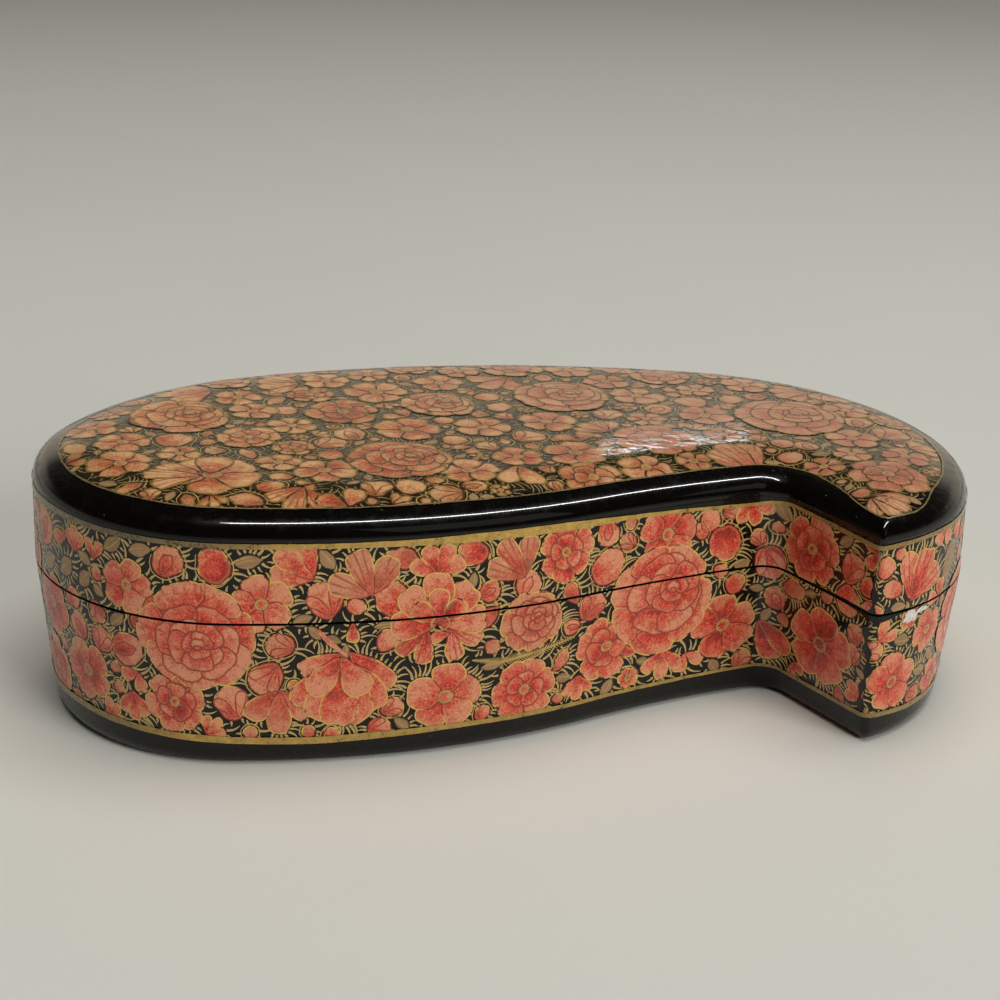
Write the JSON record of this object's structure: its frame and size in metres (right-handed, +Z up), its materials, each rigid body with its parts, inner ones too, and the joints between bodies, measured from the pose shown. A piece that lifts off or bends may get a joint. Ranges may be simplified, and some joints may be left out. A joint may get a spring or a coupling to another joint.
{
  "type": "paisley trinket box",
  "caption": "Mango or paisley shaped papier mache trinket box, painted and lacquered, with a lift-off lid that seats on a collar inside the base.",
  "frame": {"origin": "middle of the box's footprint, on the surface that it stands on", "axes": "+X along the length towards the beak's side, -Y towards the front with the inner corner, +Z up"},
  "size_m": [0.15, 0.091, 0.0419],
  "materials": {
    "painted_wall": "painted flowers under gloss lacquer on papier mache",
    "painted_top": "painted flowers under yellowed gloss lacquer on papier mache",
    "black_lacquer": "black lacquer on papier mache"
  },
  "bodies": {
    "base": {"base_wall": "painted_wall", "base_floor": "black_lacquer", "lid_collar": "black_lacquer"},
    "lid": {"lid_wall": "painted_wall", "lid_top": "painted_top"}
  },
  "joints": [
    {"name": "lid_lift", "type": "slide", "parent": "base", "child": "lid", "axis": [0, 0, 1], "range_m": [0, 0.06]}
  ]
}
